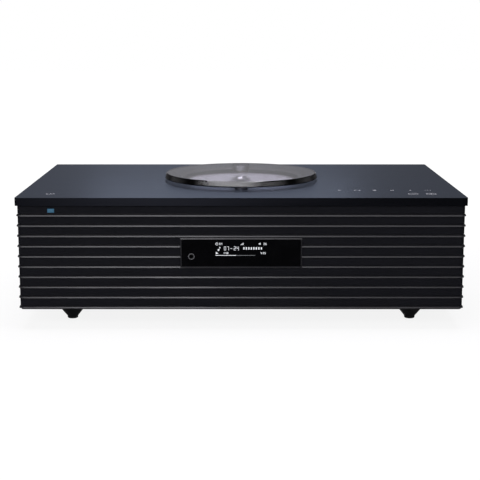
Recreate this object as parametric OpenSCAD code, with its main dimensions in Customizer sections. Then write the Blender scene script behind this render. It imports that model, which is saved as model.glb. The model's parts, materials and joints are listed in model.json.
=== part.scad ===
// All-in-one stereo system: a low wide cabinet wrapped in thin fins over a fine net, a thick metal top
// plate, a disc well under a round clear lid that swivels on a post, a display window and cone feet.
// X runs to the right, the front faces -Y, Z is up, and the foot pads stand on Z = 0. Millimetres.

/* [Cabinet] */
// Width of the top plate
plate_w = 450; // [440:1:480]
// Depth of the top plate
plate_d = 280; // [274:1:310]
// Thickness of the top plate
plate_t = 8; // [7.5:0.5:10]
// Corner radius of the top plate
plate_r = 2; // [1:0.5:4]
// Set-back of the net's face from the edge of the plate
overhang = 1.8; // [1.5:0.1:4]
// Height of the body above the table
foot_h = 20.5; // [16:0.5:26]
// Thickness of the base plate
base_t = 4; // [4:0.5:6]
// Thickness of the cabinet's side walls
wall_t = 5; // [4.5:0.5:7]
// Thickness of the front baffle
baffle_t = 8; // [7:0.5:10]
// Distance of the feet's centres from the plate's side edges
foot_in_x = 48; // [38:1:60]
// Distance of the feet's centres from the plate's front and back edges
foot_in_y = 50; // [42:1:58]

/* [Grille] */
// Number of fins
fin_count = 10; // [9:1:11]
// Distance from fin to fin
fin_pitch = 10.42; // [10.2:0.02:11]
// How far a fin's tip stands out of the net
fin_out = 1.3; // [0.8:0.1:1.4]
// First fin's centre below the plate
fin_top = 10.1; // [9:0.1:12]
// Last fin's centre above the bottom of the body
fin_base = 2.1; // [1.8:0.1:3]
// Thickness of the net
net_t = 1; // [0.8:0.1:1.2]
// Thickness of the sheet that carries the fins
sheet_t = 1.5; // [1.2:0.1:1.6]
// Outer radius of the net at the front corners
corner_r = 4; // [4:0.5:8]

/* [Front] */
// Width of the display window
display_w = 121.4; // [116:0.2:126]
// Headphone jack's centre from the left end of the window
jack_in = 10.8; // [9:0.1:14]
// Bore radius of the headphone jack and of the line-in socket
jack_bore_r = 1.8; // [1.75:0.05:1.9]
// Status lamp's centre from the left side of the net
lamp_in = 33.8; // [26:0.2:50]

/* [Lid and disc well] */
// Radius of the clear lid
lid_r = 84; // [82:0.5:86]
// Thickness of the clear lid
lid_t = 6.2; // [5:0.2:7]
// Gap between the plate and the lid
lid_gap = 2.3; // [2:0.1:3]
// Distance of the pivot post behind the middle of the well
pivot_y = 73; // [72.5:0.5:74]
// Radius of the pivot post inside the lid
post_r = 8.75; // [8.5:0.25:9]
// Radius of the post's shaft in its bush
post_shaft_r = 4; // [3.5:0.1:4.2]
// Inner radius of the disc well
well_r = 63.3; // [62.4:0.1:64]
// Depth of the disc well below the top of the plate
well_depth = 6; // [5.6:0.2:6.4]

/* [Disc drive] */
// Height of the disc's seat above the floor of the well
seat_rise = 1.5; // [1.2:0.1:2]
// Radius of the disc's centring boss
boss_r = 7.4; // [7.3:0.05:7.45]
// Distance of the lens from the spindle at the inner end
lens_in = 24; // [23.5:0.5:25]
// Travel of the pickup sled
sled_travel = 34; // [30:1:35]
// Teeth of the small sled gear that drives the rack
gear_teeth = 18; // [17:1:20]
// Teeth of the large sled gear
wheel_teeth = 45; // [40:1:46]
// Teeth of the motor pinion
pinion_teeth = 18; // [17:1:20]
// Radius of the guide rods
rod_r = 1.5; // [1.3:0.1:1.6]

/* [Speakers] */
// Outer radius of the woofer's flange
woofer_r = 40; // [38:0.5:41]
// Outer radius of the tweeter's plate
tweeter_r = 19; // [18:0.5:20]
// Outer radius of the subwoofer's flange
sub_r = 60; // [56:1:62]
// Subwoofer's centre behind the middle
sub_y = 10; // [4:1:16]
// Depth of the speaker boxes
box_d = 95; // [85:1:98]
// Outer radius of the bass port's tube
port_r = 16; // [14:0.5:17]

/* [Hidden] */
$fn = 64;

// Clearances
fit_gap = 0.2;
run_gap = 0.05;
seat_gap = 0.3;

// Heights
body_h = fin_top + (fin_count - 1) * fin_pitch + fin_base;
base_z1 = foot_h + base_t;
plate_z0 = foot_h + body_h;
plate_z1 = plate_z0 + plate_t;

// Layers of the front and sides, from the net's face inwards
hw = plate_w / 2 - overhang;
net_y = -plate_d / 2 + overhang;
skin_t = net_t + sheet_t;
sheet_y = net_y + net_t;
baffle_y = net_y + skin_t;
inner_y = baffle_y + baffle_t;
shell_hw = hw - skin_t;
inner_hw = shell_hw - wall_t;
rear_t = 3;
rear_y1 = plate_d / 2 - 4;
rear_y0 = rear_y1 - rear_t;
foot_x = plate_w / 2 - foot_in_x;
foot_y = plate_d / 2 - foot_in_y;

// Fin section
fin_up = 1.45;
fin_down = 1.15;
net_foot = 0.7;

// Display, between the third and the sixth fin
display_z1 = fin_z(2) - 1.9;
display_z0 = fin_z(5) - 0.3;
display_z = (display_z0 + display_z1) / 2;
display_h = display_z1 - display_z0;
bezel_rim = 1;
bezel_out = 0.3;
bezel_lean = 0.25;
glass_t = 1.6;
glass_y = net_y - fin_out + 0.5;
ledge_y = glass_y + glass_t;
jack_x = display_w / 2 - jack_in;
jack_z = display_z - 3.65;
jack_r = 3.15;
jack_body = 5.5;
jack_body_d = 13;
panel_in = 28.7;
panel_hw = display_w / 2 - panel_in;
lamp_x = hw - lamp_in;
lamp_w = 6.5;
lamp_h = 3.7;
lamp_z = plate_z0 - 5.1;

// Foot pads
pad_r = 5.5;
pad_edge = 1.2;
pad_h = 2.4;
foot_r = 19.6;
foot_lip = 1.2;
foot_stud_r = 2.9;
stud_h = base_t - 1.5;

// Touch board pocket under the front right of the plate
touch_w = 112;
touch_d = 40;
touch_in_x = 22;
touch_in_y = 20;
touch_x = plate_w / 2 - touch_in_x - touch_w;
touch_y = -plate_d / 2 + touch_in_y;
touch_skin = 2;

// Lid and well
lid_z0 = plate_z1 + lid_gap;
lid_z1 = lid_z0 + lid_t;
lid_lean = 1.35;
lid_bevel_w = 0.9;
lid_bevel_h = 0.9;
lid_foot = 1.1;
cap_r = post_r + 1.5;
cap_t = 1;
glue_gap = 0.05;
bush_r = post_shaft_r + 1.6;
bush_flange_t = 0.5;
clip_r = post_shaft_r + 2.6;
clip_t = 1.1;
bush_drop = 3;
clip_z1 = plate_z0 - bush_drop - fit_gap;
rest_r = 6.8;
rest_pin_r = 2.5;
rest_pin = 3;
rest_y = -(lid_r - rest_r - 0.2);
well_wall = 1.6;
well_o = well_r - fit_gap;
skirt_r = well_o - well_wall;
well_floor_t = 1.6;
well_bevel_w = 3.5;
well_bevel_h = 2;
well_flange_r = well_o + 8;
well_floor_z = plate_z1 - well_depth;
bay_hw = post_r + 0.6;
bay_z = well_floor_z + 0.8;
hub_hole_r = 11.5;
slot_hw = 13;
slot_out = skirt_r - 3.5;

// Drive heights, from the underside of the well's flange down
flange_z0 = plate_z0 - 2;
damper_boss_h = 3;
damper_ring_h = 2.5;
deck_t = 1.5;
deck_z1 = flange_z0 - damper_boss_h - damper_ring_h;
deck_z0 = deck_z1 - deck_t;
damper_r = 5;
damper_neck_r = 3.2;
damper_screw_r = 1.5;
damper_xy = (well_o + well_flange_r) / 2 * cos(45);
deck_hw = damper_xy + 7;
disc_seat_z = well_floor_z + seat_rise;
mat_t = 0.6;
turntable_t = 2;
turntable_z0 = disc_seat_z - mat_t - turntable_t;
turntable_r = hub_hole_r - 0.8;
shaft_r = 1.5;
motor_r = 13.5;
motor_z1 = turntable_z0 - 1;

// Sled, with the lens at the inner end
lens_y = -lens_in;
lens_r = 4;
lens_top_r = 2.2;
sled_hw = 13;
sled_front = 20;
sled_back = 8;
sled_gap = 1.5;
sled_y0 = lens_y - sled_front;
sled_y1 = lens_y + sled_back;
sled_z1 = well_floor_z - well_floor_t - 0.8;
sled_z0 = deck_z0 - 0.5;
rod_block = 3.5;
rod_block_hw = rod_r + 0.8;
rod_x = sled_hw + sled_gap + rod_block_hw + 0.2;
rod_z = deck_z1 + 4;
rod_y0 = sled_y0 - sled_travel - 8;
rod_y1 = sled_y1 + 6.5;
arm_x = rod_x + 3.5;
arm_z0 = rod_z - 2.2;
deck_y0 = rod_y0 - 4;

// Gear train: rack, small gear, large gear on the same hub, motor pinion
rack_m = 0.5;
wheel_m = 0.4;
rack_p = PI * rack_m;
gear_r = rack_m * gear_teeth / 2;
wheel_r = wheel_m * wheel_teeth / 2;
pinion_r = wheel_m * pinion_teeth / 2;
rack_x = arm_x + 2.1;
gear_x = rack_x + gear_r;
gear_y = -(lens_in + 0.65 * sled_travel);
pinion_a = 7 * 360 / wheel_teeth;
pinion_x = gear_x + (wheel_r + pinion_r) * cos(pinion_a);
pinion_y = gear_y + (wheel_r + pinion_r) * sin(pinion_a);
rack_teeth = ceil(sled_travel / rack_p) + 3;
wheel_z0 = deck_z1 + 0.3;
wheel_z1 = wheel_z0 + 1;
gear_z1 = rod_z + 1;
gear_pin_r = 1.2;
sled_motor_r = 7.5;
sled_motor_h = 12;
pinion_shaft_r = 1;
lash = 0.12;

// Speakers
roll_rim = 6.5;
motor_depth = 26;
former_h = 11;
box_wall = 3;
box_room = 4;
box_w = 2 * woofer_r + 2 * tweeter_r + 3 * box_room + 2 * box_wall;
box_x1 = inner_hw - seat_gap;
box_x0 = box_x1 - box_w;
box_z1 = plate_z0 - 0.4;
speaker_z = (base_z1 + plate_z0) / 2;
woofer_x = box_x0 + box_wall + box_room + woofer_r;
tweeter_x = woofer_x + woofer_r + box_room + tweeter_r;
woofer_roll = 2.5;
woofer_seat = 1.5;
woofer_coil = 10;
woofer_cone = 12;
woofer_magnet = 27;
sub_roll = 4.5;
sub_seat = 3.5;
sub_coil = 16;
sub_cone_d = 16;
sub_magnet = 38;
tweeter_t = 3;
tweeter_magnet_r = tweeter_r - 6;
tweeter_magnet = 18;
dome_r = tweeter_r - 10;
dome_ball_r = dome_r + 5;
dome_rise = 1.8;
dome_recess = 2.2;
lens_ring_r = tweeter_r - 3.4;
vane_pitch = 0.45 * lens_ring_r;
sub_guard_t = 1.2;
sub_guard_rim = 6;
sub_hw = sub_r + 5;
sub_top = base_z1 + driver_depth(sub_seat, sub_cone_d) + 6;
port_up = 28;
port_z = base_z1 + port_up;
port_wall = 2.5;
sub_well_r = roll_centre(sub_r, sub_roll) + sub_roll + 1;
guard_pitch = sub_well_r / 6;
guard_hw = 0.29 * guard_pitch;

// Boards
board_t = 1.6;
board_z0 = base_z1 + 6;
board_z1 = board_z0 + board_t;
board_x0 = sub_hw + 16;
board_x1 = inner_hw - 8;
board_y0 = inner_y + box_d + 6;
board_y1 = rear_y0 - 1;
board_w = board_x1 - board_x0;
board_d = board_y1 - board_y0;
board_room = plate_z0 - board_z1;
solder = 0.2;
standoff_r = 4;
standoff_in = 8;
standoff_back = 30;
socket_out = 0.4;
socket_step = 22;
antenna_in = 36.7;
antenna_x = -(board_x1 - antenna_in);
aux_x = antenna_x + socket_step;
usb_x = aux_x + socket_step;
lan_x = usb_x + socket_step + 4;
lan_hw = 8.3;
lan_h = 13.5;
lan_d = 21;
usb_hw = 7.2;
usb_h = 7.5;
usb_d = 17;
aux_r = 3.6;
aux_z = board_z1 + 6;
aux_hw = 5.5;
aux_d = 14;
antenna_r = 4.7;
antenna_z = board_z1 + 8;
antenna_hw = 6.5;
antenna_out = 3.4;
inlet_in = 52.7;
inlet_x = board_x1 - inlet_in;
inlet_w = 25;
inlet_h = 15;
inlet_d = 20;
inlet_pin_x = 4.3;
sink_w = 37.2;
sink_fins = 9;
sink_fin_t = 2;
sink_x = board_x1 - sink_w - 4.8;
vent_count = 16;
vent_z1 = plate_z0 - 14;
vent_h = 24;
vent_hw = 1.3;
vent_in = 12;
vent_pitch = (board_w - 3 * vent_in) / (vent_count - 1);

// Case screws
screw_r = 1.4;
head_r = 2.9;
head_h = 1.5;
side_bite = 9;
base_bite = 7;
side_screw_x = inner_hw + wall_t / 2;
side_screw_z = [foot_h + 0.14 * body_h, foot_h + 0.5 * body_h, foot_h + 0.86 * body_h];
base_screw_x = [0.16 * plate_w, 0.28 * plate_w, 0.44 * plate_w];
base_screw_y = (baffle_y + inner_y) / 2;

// Colours
metal_dark = [0.27, 0.28, 0.31];
black = [0.06, 0.06, 0.07];
fin_black = [0.13, 0.13, 0.14];
net_black = [0.09, 0.09, 0.1];
silver = [0.72, 0.72, 0.76];
steel = [0.6, 0.6, 0.62];
rubber = [0.08, 0.08, 0.08];
board_green = [0.05, 0.25, 0.15];

function fin_z(i) = plate_z0 - fin_top - i * fin_pitch;
function roll_centre(ro, roll) = ro - roll_rim - roll;
function driver_depth(seat, cone_d) = seat + cone_d + motor_depth;
function vane_hw(k) = sqrt(pow(lens_ring_r, 2) - pow(k * vane_pitch, 2));
function inv_deg(a) = tan(a) * 180 / PI - a;
function polar(r, a) = [r * cos(a), r * sin(a)];

// Half angle of a gear tooth at radius r
function tooth_half(m, n, r) =
    let (rp = m * n / 2, rb = rp * cos(20))
    (PI * m / 2 - lash) / (2 * rp) * 180 / PI + inv_deg(20) - inv_deg(acos(min(1, rb / r)));

// Outline of one gear tooth, from root to root
function tooth_points(m, n, k) =
    let (rp = m * n / 2, rb = rp * cos(20), root = rp - 1.25 * m, low = max(rb, root), high = rp + m,
        c = k * 360 / n, steps = [low, (2 * low + high) / 3, (low + 2 * high) / 3, high])
    concat(
        root < low ? [polar(root, c - tooth_half(m, n, low))] : [],
        [for (r = steps) polar(r, c - tooth_half(m, n, r))],
        [for (j = [3:-1:0]) polar(steps[j], c + tooth_half(m, n, steps[j]))],
        root < low ? [polar(root, c + tooth_half(m, n, low))] : []);

// A box between two corners
module block(x0, x1, y0, y1, z0, z1) {
    translate([x0, y0, z0])
        cube([x1 - x0, y1 - y0, z1 - z0]);
}

// A disc standing on height z
module disc(r, z0, z1) {
    translate([0, 0, z0])
        cylinder(r = r, h = z1 - z0);
}

// A round bar along Y
module bar_y(x, z, r, y0, y1) {
    translate([x, y0, z])
        rotate([-90, 0, 0])
            cylinder(r = r, h = y1 - y0);
}

// A flat outline with round corners, centred
module round_rect(w, d, r) {
    square([w - 2 * r, d], center = true);
    square([w, d - 2 * r], center = true);
    for (sx = [-1, 1], sy = [-1, 1])
        translate([sx * (w / 2 - r), sy * (d / 2 - r)])
            circle(r);
}

// Plan of the body at a distance inside the net's face, open to the back
module body_plan(inset, back) {
    translate([-(hw - inset), net_y + corner_r])
        square([2 * (hw - inset), back - net_y - corner_r]);
    translate([-(hw - corner_r), net_y + inset])
        square([2 * (hw - corner_r), corner_r - inset + 1]);
    for (s = [-1, 1])
        translate([s * (hw - corner_r), net_y + corner_r])
            circle(corner_r - inset);
}

// Sweeps a section round the front and both sides; its x is the distance from the corner's axis
module wrap() {
    ax = hw - corner_r;
    ay = net_y + corner_r;
    translate([ax, ay, 0])
        rotate([90, 0, -90])
            linear_extrude(2 * ax)
                children();
    translate([ax, rear_y1, 0])
        rotate([90, 0, 0])
            linear_extrude(rear_y1 - ay)
                children();
    translate([-ax, ay, 0])
        rotate([90, 0, 180])
            linear_extrude(rear_y1 - ay)
                children();
    translate([ax, ay, 0])
        rotate([0, 0, -90])
            rotate_extrude(angle = 90)
                children();
    translate([-ax, ay, 0])
        rotate([0, 0, 180])
            rotate_extrude(angle = 90)
                children();
}

module gear_outline(m, n) {
    polygon([for (k = [0:n - 1]) for (p = tooth_points(m, n, k)) p]);
}

// Bay at the back of the well that the post stands in
module post_bay() {
    translate([0, pivot_y, 0])
        disc(bay_hw, bay_z, plate_z1 + 1);
    block(-bay_hw, bay_hw, well_r - 5, pivot_y, bay_z, plate_z1 + 1);
}

// Top plate, with the well's bevelled opening, the post's bay and bore and the touch board's pocket
module top_plate() {
    color(metal_dark)
        difference() {
            translate([0, 0, plate_z0])
                linear_extrude(plate_t)
                    round_rect(plate_w, plate_d, plate_r);
            rotate_extrude()
                polygon([[0, plate_z0 - 1], [well_r, plate_z0 - 1], [well_r, plate_z1 - well_bevel_h],
                    [well_r + well_bevel_w, plate_z1], [well_r + well_bevel_w, plate_z1 + 1],
                    [0, plate_z1 + 1]]);
            post_bay();
            translate([0, pivot_y, 0])
                disc(bush_r, plate_z0 - 1, plate_z1 + 1);
            translate([0, rest_y, 0])
                disc(rest_pin_r, plate_z1 - rest_pin, plate_z1 + 1);
            block(touch_x, touch_x + touch_w, touch_y, touch_y + touch_d, plate_z0 - 1, plate_z1 - touch_skin);
        }
}

// Section of the sheet with its fins: sloped on top, a narrow tip, cut back underneath
function fin_section(i) =
    let (z = fin_z(i), rs = corner_r - net_t, tip = corner_r + fin_out)
    [[rs, z - fin_down], [tip, z - 0.65], [tip - 0.35, z + 0.7], [rs, z + fin_up]];

module fin_comb() {
    ri = corner_r - skin_t;
    rs = corner_r - net_t;
    polygon(concat(
        [[ri, foot_h], [rs, foot_h]],
        [for (i = [fin_count - 1:-1:0]) for (p = fin_section(i)) p],
        [[rs, plate_z0], [ri, plate_z0]]));
}

// Lower and upper edge of the net's band above fin i
function band_z0(i) = fin_z(i) + fin_up + net_foot;
function band_z1(i) = i == 0 ? plate_z0 - fit_gap : fin_z(i - 1) - fin_down - fit_gap;

module display_cut(gap) {
    w = display_w / 2 + gap;
    block(-w, w, net_y - 5, baffle_y + 1, display_z0 - gap, display_z1 + gap);
}

module lamp_cut(gap, y0, y1) {
    block(-lamp_x - lamp_w / 2 - gap, -lamp_x + lamp_w / 2 + gap, y0, y1,
        lamp_z - lamp_h / 2 - gap, lamp_z + lamp_h / 2 + gap);
}

// Fins on a sheet that is open to the speakers between them
module grille_fins() {
    open_x0 = woofer_x - woofer_r + 6;
    open_w = (tweeter_x + tweeter_r - 2 - open_x0) / 4;
    color(fin_black)
        difference() {
            wrap()
                fin_comb();
            display_cut(fit_gap);
            lamp_cut(fit_gap, net_y - 5, baffle_y + 1);
            for (s = [-1, 1], k = [0:3], i = [1:fin_count - 1])
                translate([s * (open_x0 + (k + 0.5) * open_w), 0, 0])
                    block(-open_w / 2 + 1.5, open_w / 2 - 1.5, sheet_y - 0.3, baffle_y + 0.3,
                        band_z0(i) + 0.4, band_z1(i) - 0.4);
        }
}

// Bands of fine net between the fins
module grille_net() {
    color(net_black)
        difference() {
            for (i = [0:fin_count - 1])
                wrap()
                    translate([corner_r - net_t, band_z0(i)])
                        square([net_t, band_z1(i) - band_z0(i)]);
            display_cut(fit_gap);
            lamp_cut(fit_gap, net_y - 5, baffle_y + 1);
        }
}

// Front baffle and side walls
module cabinet_shell() {
    color(black)
        difference() {
            translate([0, 0, base_z1])
                linear_extrude(plate_z0 - base_z1)
                    body_plan(skin_t, rear_y0);
            block(-inner_hw, inner_hw, inner_y, rear_y0 + 1, base_z1 - 1, plate_z0 + 1);
            for (s = [-1, 1]) {
                bar_y(s * woofer_x, speaker_z, roll_centre(woofer_r, woofer_roll) + woofer_roll + 0.8,
                    baffle_y - 1, inner_y + 1);
                bar_y(s * tweeter_x, speaker_z, lens_ring_r + fit_gap, baffle_y - 1, inner_y + 1);
                for (z = side_screw_z)
                    bar_y(s * side_screw_x, z, screw_r, rear_y0 - side_bite - 1, rear_y0 + 1);
                for (x = base_screw_x)
                    translate([s * x, base_screw_y, 0])
                        disc(screw_r, base_z1 - 1, base_z1 + base_bite + 3);
            }
            block(-display_w / 2 + 1.7, display_w / 2 - 1.7, baffle_y - 1, inner_y + 1,
                display_z0 + 1.4, display_z1 - 1.4);
            lamp_cut(0.02, baffle_y - 1, baffle_y + 2);
        }
}

// Base plate: slotted guard under the subwoofer, posts for the boards, stud holes for the feet
module base_plate() {
    color(black)
        difference() {
            union() {
                translate([0, 0, foot_h])
                    linear_extrude(base_t)
                        body_plan(skin_t, rear_y0);
                for (s = [-1, 1], x = [board_x0 + standoff_in, board_x1 - standoff_in],
                    y = [board_y0 + standoff_in, board_y1 - standoff_back])
                    translate([s * x, y, 0])
                        disc(standoff_r, base_z1 - 0.5, board_z0);
            }
            translate([0, sub_y, 0])
                disc(sub_well_r, foot_h + sub_guard_t, base_z1 + 1);
            for (k = [-5:5])
                translate([k * guard_pitch, sub_y, 0])
                    guard_slot(sqrt(sub_well_r * sub_well_r - pow(k * guard_pitch, 2)) - sub_guard_rim);
            for (sx = [-1, 1], sy = [-1, 1])
                translate([sx * foot_x, sy * foot_y, 0])
                    disc(foot_stud_r + 0.1, foot_h - 1, foot_h + stud_h + 0.5);
            for (s = [-1, 1], x = base_screw_x)
                translate([s * x, base_screw_y, 0]) {
                    disc(screw_r + 0.1, foot_h - 1, base_z1 + 1);
                    disc(head_r + 0.1, foot_h - 1, foot_h + head_h);
                }
        }
}

module guard_slot(half) {
    for (a = [0, 180])
        rotate([0, 0, a])
            block(-guard_hw, guard_hw, guard_hw, half, foot_h - 1, foot_h + sub_guard_t + 1);
}

// Rear panel with its socket openings, the port hole and the vents
module rear_panel() {
    color(black)
        difference() {
            block(-shell_hw, shell_hw, rear_y0, rear_y1, foot_h, plate_z0);
            bar_y(0, port_z, port_r + 0.1, rear_y0 - 1, rear_y1 + 1);
            block(lan_x - lan_hw - fit_gap, lan_x + lan_hw + fit_gap, rear_y0 - 1, rear_y1 + 1,
                board_z1 - fit_gap, board_z1 + lan_h + fit_gap);
            block(usb_x - usb_hw - fit_gap, usb_x + usb_hw + fit_gap, rear_y0 - 1, rear_y1 + 1,
                board_z1 - fit_gap, board_z1 + usb_h + fit_gap);
            bar_y(aux_x, aux_z, aux_r + fit_gap, rear_y0 - 1, rear_y1 + 1);
            bar_y(antenna_x, antenna_z, antenna_r + fit_gap, rear_y0 - 1, rear_y1 + 1);
            block(inlet_x - inlet_w / 2 - fit_gap, inlet_x + inlet_w / 2 + fit_gap, rear_y0 - 1, rear_y1 + 1,
                board_z1 - fit_gap, board_z1 + inlet_h + fit_gap);
            for (s = [-1, 1], z = side_screw_z)
                bar_y(s * side_screw_x, z, screw_r + 0.1, rear_y0 - 1, rear_y1 + 1);
            for (s = [-1, 1], k = [0:vent_count - 1])
                translate([s * (board_x0 + vent_in + k * vent_pitch), 0, 0])
                    block(-vent_hw, vent_hw, rear_y0 - 1, rear_y1 + 1, vent_z1 - vent_h, vent_z1);
        }
}

// Cone feet with a stud up into the base
module feet() {
    color(fin_black)
        for (sx = [-1, 1], sy = [-1, 1])
            translate([sx * foot_x, sy * foot_y, 0])
                rotate_extrude()
                    polygon([[0, pad_h], [pad_r, pad_h], [foot_r - 0.9, foot_h - foot_lip - 0.4],
                        [foot_r, foot_h - foot_lip], [foot_r, foot_h], [foot_stud_r, foot_h],
                        [foot_stud_r, foot_h + stud_h], [0, foot_h + stud_h]]);
}

module foot_pads() {
    color(rubber)
        for (sx = [-1, 1], sy = [-1, 1])
            translate([sx * foot_x, sy * foot_y, 0])
                rotate_extrude() {
                    square([pad_r - pad_edge, pad_h]);
                    translate([0, pad_edge])
                        square([pad_r, pad_h - pad_edge]);
                    translate([pad_r - pad_edge, pad_edge])
                        circle(pad_edge);
                }
}

// One cross-head screw with its head outwards along Z
module screw(len) {
    difference() {
        union() {
            disc(head_r, 0, head_h);
            disc(screw_r, -len, 0.5);
        }
        block(-1.8, 1.8, -0.4, 0.4, head_h - 0.9, head_h + 1);
        block(-0.4, 0.4, -1.8, 1.8, head_h - 0.9, head_h + 1);
    }
}

module case_screws() {
    color(steel)
        for (s = [-1, 1]) {
            for (z = side_screw_z)
                translate([s * side_screw_x, rear_y1, z])
                    rotate([-90, 0, 0])
                        screw(rear_t + side_bite);
            for (x = base_screw_x)
                translate([s * x, base_screw_y, foot_h + head_h])
                    rotate([180, 0, 0])
                        screw(base_t + base_bite);
        }
}

// Thin frame round the display window: a ledge carries the glass, and the top edge leans back
module display_bezel() {
    w = display_w / 2;
    face = glass_y - bezel_out;
    color(fin_black)
        difference() {
            block(-w, w, face, baffle_y, display_z0, display_z1);
            block(-w + bezel_rim, w - bezel_rim, glass_y - 1, ledge_y,
                display_z0 + bezel_rim, display_z1 - bezel_rim);
            block(-w + 3.6, w - 3.6, glass_y - 1, baffle_y + 1, display_z0 + 2.8, display_z1 - 2.8);
            translate([-w - 1, 0, 0])
                rotate([90, 0, 90])
                    linear_extrude(2 * w + 2)
                        polygon([[face - 1, display_z1 - bezel_rim], [face, display_z1 - bezel_rim],
                            [face + bezel_lean, display_z1], [face + bezel_lean, display_z1 + 1],
                            [face - 1, display_z1 + 1]]);
        }
}

module display_window() {
    w = display_w / 2 - bezel_rim - 0.1;
    h = display_h / 2 - bezel_rim - 0.1;
    color([0.02, 0.02, 0.025])
        difference() {
            block(-w, w, glass_y, ledge_y, display_z - h, display_z + h);
            bar_y(-jack_x, jack_z, jack_r + 0.1, glass_y - 1, ledge_y + 1);
        }
}

// Glowing panel between the glass and its board
module display_module() {
    color([0.1, 0.1, 0.12])
        block(-panel_hw, panel_hw, ledge_y, baffle_y, display_z0 + 3.6, display_z1 - 3.6);
}

module display_board() {
    w = display_w / 2 - 2;
    h = display_h / 2 - 1.7;
    color(board_green)
        difference() {
            union() {
                block(-w, w, baffle_y, baffle_y + board_t, display_z - h, display_z + h);
                block(-0.24 * w, 0.24 * w, baffle_y + board_t - solder, baffle_y + board_t + 1.5,
                    display_z - 0.4 * h, display_z + 0.4 * h);
                block(0.4 * w, 0.68 * w, baffle_y + board_t - solder, baffle_y + board_t + 4,
                    display_z - 0.3 * h, display_z + 0.15 * h);
            }
            bar_y(-jack_x, jack_z, jack_r + 0.1, baffle_y - 1, baffle_y + board_t + 1);
        }
}

// Jack collar through the glass, with its body behind the board
module headphone_jack() {
    back = baffle_y + board_t;
    color(steel)
        difference() {
            union() {
                bar_y(-jack_x, jack_z, jack_r, glass_y - 0.3, back + 1);
                block(-jack_x - jack_body, -jack_x + jack_body, back, back + jack_body_d,
                    jack_z - 0.8 * jack_body, jack_z + 0.8 * jack_body);
            }
            bar_y(-jack_x, jack_z, jack_bore_r, glass_y - 1, back + jack_body_d - 2);
        }
}

module status_lamp() {
    color([0.1, 0.3, 0.8])
        lamp_cut(0, net_y - 0.4, baffle_y + 2);
}

// Sensor board against the thin skin of the plate
module touch_board() {
    z1 = plate_z1 - touch_skin;
    color(board_green) {
        block(touch_x + 0.5, touch_x + touch_w - 0.5, touch_y + 0.5, touch_y + touch_d - 0.5, z1 - 1.2, z1);
        for (k = [0:5])
            translate([touch_x + touch_w * (k + 0.5) / 6, touch_y + touch_d / 2, 0])
                block(-3, 3, -3, 3, z1 - 2.4, z1 - 1.1);
    }
}

// Silver floor of the well: a disc in the plate's opening, a skirt and flange under it, four damper posts
module disc_well() {
    fz = plate_z0;
    color(silver)
        difference() {
            union() {
                rotate_extrude()
                    polygon([[hub_hole_r, well_floor_z], [well_o, well_floor_z],
                        [well_o, fz], [well_flange_r, fz], [well_flange_r, flange_z0], [skirt_r, flange_z0],
                        [skirt_r, well_floor_z - well_floor_t], [hub_hole_r, well_floor_z - well_floor_t]]);
                for (sx = [-1, 1], sy = [-1, 1])
                    translate([sx * damper_xy, sy * damper_xy, 0])
                        disc(3.6, flange_z0 - damper_boss_h, flange_z0 + 0.5);
            }
            block(-slot_hw, slot_hw, -slot_out, -hub_hole_r + 3, well_floor_z - 5, well_floor_z + 1);
            block(-lens_top_r - 1, lens_top_r + 1, lens_y - sled_travel - lens_top_r - 0.6, -hub_hole_r,
                well_floor_z - 5, well_floor_z + 1);
            block(-arm_x - 1.5, arm_x + 1.5, -well_flange_r - 1, -hub_hole_r, flange_z0 - 5, fz);
            translate([0, pivot_y, 0])
                disc(clip_r + 2.4, flange_z0 - 5, fz);
            for (sx = [-1, 1], sy = [-1, 1])
                translate([sx * damper_xy, sy * damper_xy, 0])
                    disc(damper_screw_r, flange_z0 - damper_boss_h - 1, fz - 0.5);
        }
}

// Outer form of the lid: an edge that leans in, with a bevel above and below
module lid_body() {
    translate([0, 0, lid_z0])
        rotate_extrude()
            polygon([[0, 0], [lid_r - lid_foot, 0], [lid_r, lid_foot], [lid_r - lid_lean, lid_t - lid_bevel_h],
                [lid_r - lid_lean - lid_bevel_w, lid_t], [0, lid_t]]);
}

// Clear lid, bored for the post and its cap
module lid_disc() {
    color([0.8, 0.82, 0.86, 0.45])
        difference() {
            lid_body();
            translate([0, pivot_y, 0]) {
                disc(post_r + glue_gap, lid_z0 - 1, lid_z1 + 1);
                disc(cap_r + glue_gap, lid_z1 - cap_t, lid_z1 + 1);
            }
        }
}

// Metal post: head inside the lid, shaft down through the bush, groove for the clip
module lid_post() {
    color(silver)
        translate([0, pivot_y, 0])
            difference() {
                union() {
                    disc(post_r, bay_z + bush_flange_t + run_gap, lid_z1 - cap_t);
                    disc(post_shaft_r, clip_z1 - clip_t - 1.5, bay_z + bush_flange_t + 1);
                }
                difference() {
                    disc(post_shaft_r + 1, clip_z1 - clip_t, clip_z1);
                    disc(post_shaft_r - 0.8, clip_z1 - clip_t - 1, clip_z1 + 1);
                }
            }
}

// Cap over the post, cut flush with the lid's edge
module lid_cap() {
    color(metal_dark)
        intersection() {
            lid_body();
            translate([0, pivot_y, 0])
                disc(cap_r, lid_z1 - cap_t, lid_z1 + 1);
        }
}

// Spring clip in the shaft's groove, under the bush
module lid_clip() {
    color(steel)
        translate([0, pivot_y, 0])
            difference() {
                disc(clip_r, clip_z1 - clip_t, clip_z1);
                disc(post_shaft_r - 0.8, clip_z1 - clip_t - 1, clip_z1 + 1);
                block(-post_shaft_r + 1.4, post_shaft_r - 1.4, -clip_r - 1, 0,
                    clip_z1 - clip_t - 1, clip_z1 + 1);
            }
}

// Flanged bush that the post turns in
module lid_bush() {
    color([0.7, 0.55, 0.3])
        translate([0, pivot_y, 0])
            difference() {
                union() {
                    disc(bush_r, plate_z0 - bush_drop, bay_z);
                    disc(post_r - 0.3, bay_z, bay_z + bush_flange_t);
                }
                disc(post_shaft_r + run_gap, plate_z0 - bush_drop - 1, bay_z + 2);
            }
}

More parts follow.
